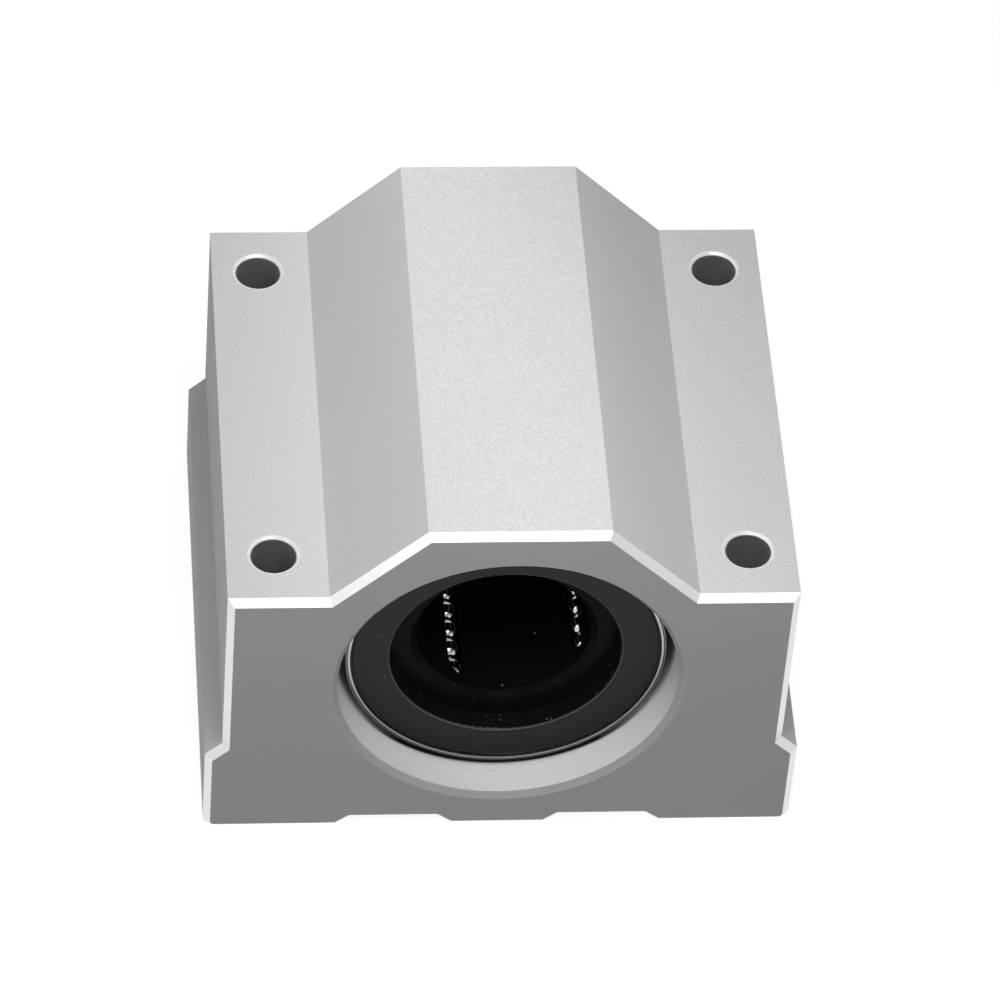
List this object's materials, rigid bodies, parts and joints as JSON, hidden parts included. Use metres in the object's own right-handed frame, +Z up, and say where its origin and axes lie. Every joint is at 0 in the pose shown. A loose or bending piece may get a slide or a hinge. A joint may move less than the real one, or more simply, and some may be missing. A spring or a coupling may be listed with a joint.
{
  "type": "linear bearing block",
  "caption": "Closed aluminium pillow block with a stepped ridge and wide foot, holding a recirculating ball bearing for a round shaft between snap rings.",
  "frame": {"origin": "middle of the foot, in the plane the block stands on", "axes": "+X across the block's width, +Y along the shaft away from the front face, +Z up from the foot"},
  "size_m": [0.042, 0.0364, 0.0305],
  "materials": {
    "block_aluminium": "bead blasted and clear anodised, with bright cut bevels",
    "sleeve_steel": "ground bearing steel",
    "ball_steel": "polished bearing steel",
    "cage_plastic": "moulded black, glossy",
    "end_ring_rubber": "moulded black, satin",
    "spring_steel": "black oxide"
  },
  "bodies": {
    "housing": {"housing_block": "block_aluminium"},
    "bearing": {"outer_sleeve": "sleeve_steel", "ball_cage": "cage_plastic", "end_ring_front": "end_ring_rubber", "end_ring_rear": "end_ring_rubber", "snap_ring_front": "spring_steel", "snap_ring_rear": "spring_steel", "loaded_balls_1": "ball_steel", "return_balls_1": "ball_steel", "front_turn_balls_1": "ball_steel", "rear_turn_balls_1": "ball_steel", "loaded_balls_2": "ball_steel", "return_balls_2": "ball_steel", "front_turn_balls_2": "ball_steel", "rear_turn_balls_2": "ball_steel", "loaded_balls_3": "ball_steel", "return_balls_3": "ball_steel", "front_turn_balls_3": "ball_steel", "rear_turn_balls_3": "ball_steel", "loaded_balls_4": "ball_steel", "return_balls_4": "ball_steel", "front_turn_balls_4": "ball_steel", "rear_turn_balls_4": "ball_steel"}
  },
  "joints": [
    {"name": "bearing_turn", "type": "hinge", "parent": "housing", "child": "bearing", "pos_m": [0, 0, 0.0152], "axis": [0, 1, 0], "continuous": true}
  ]
}
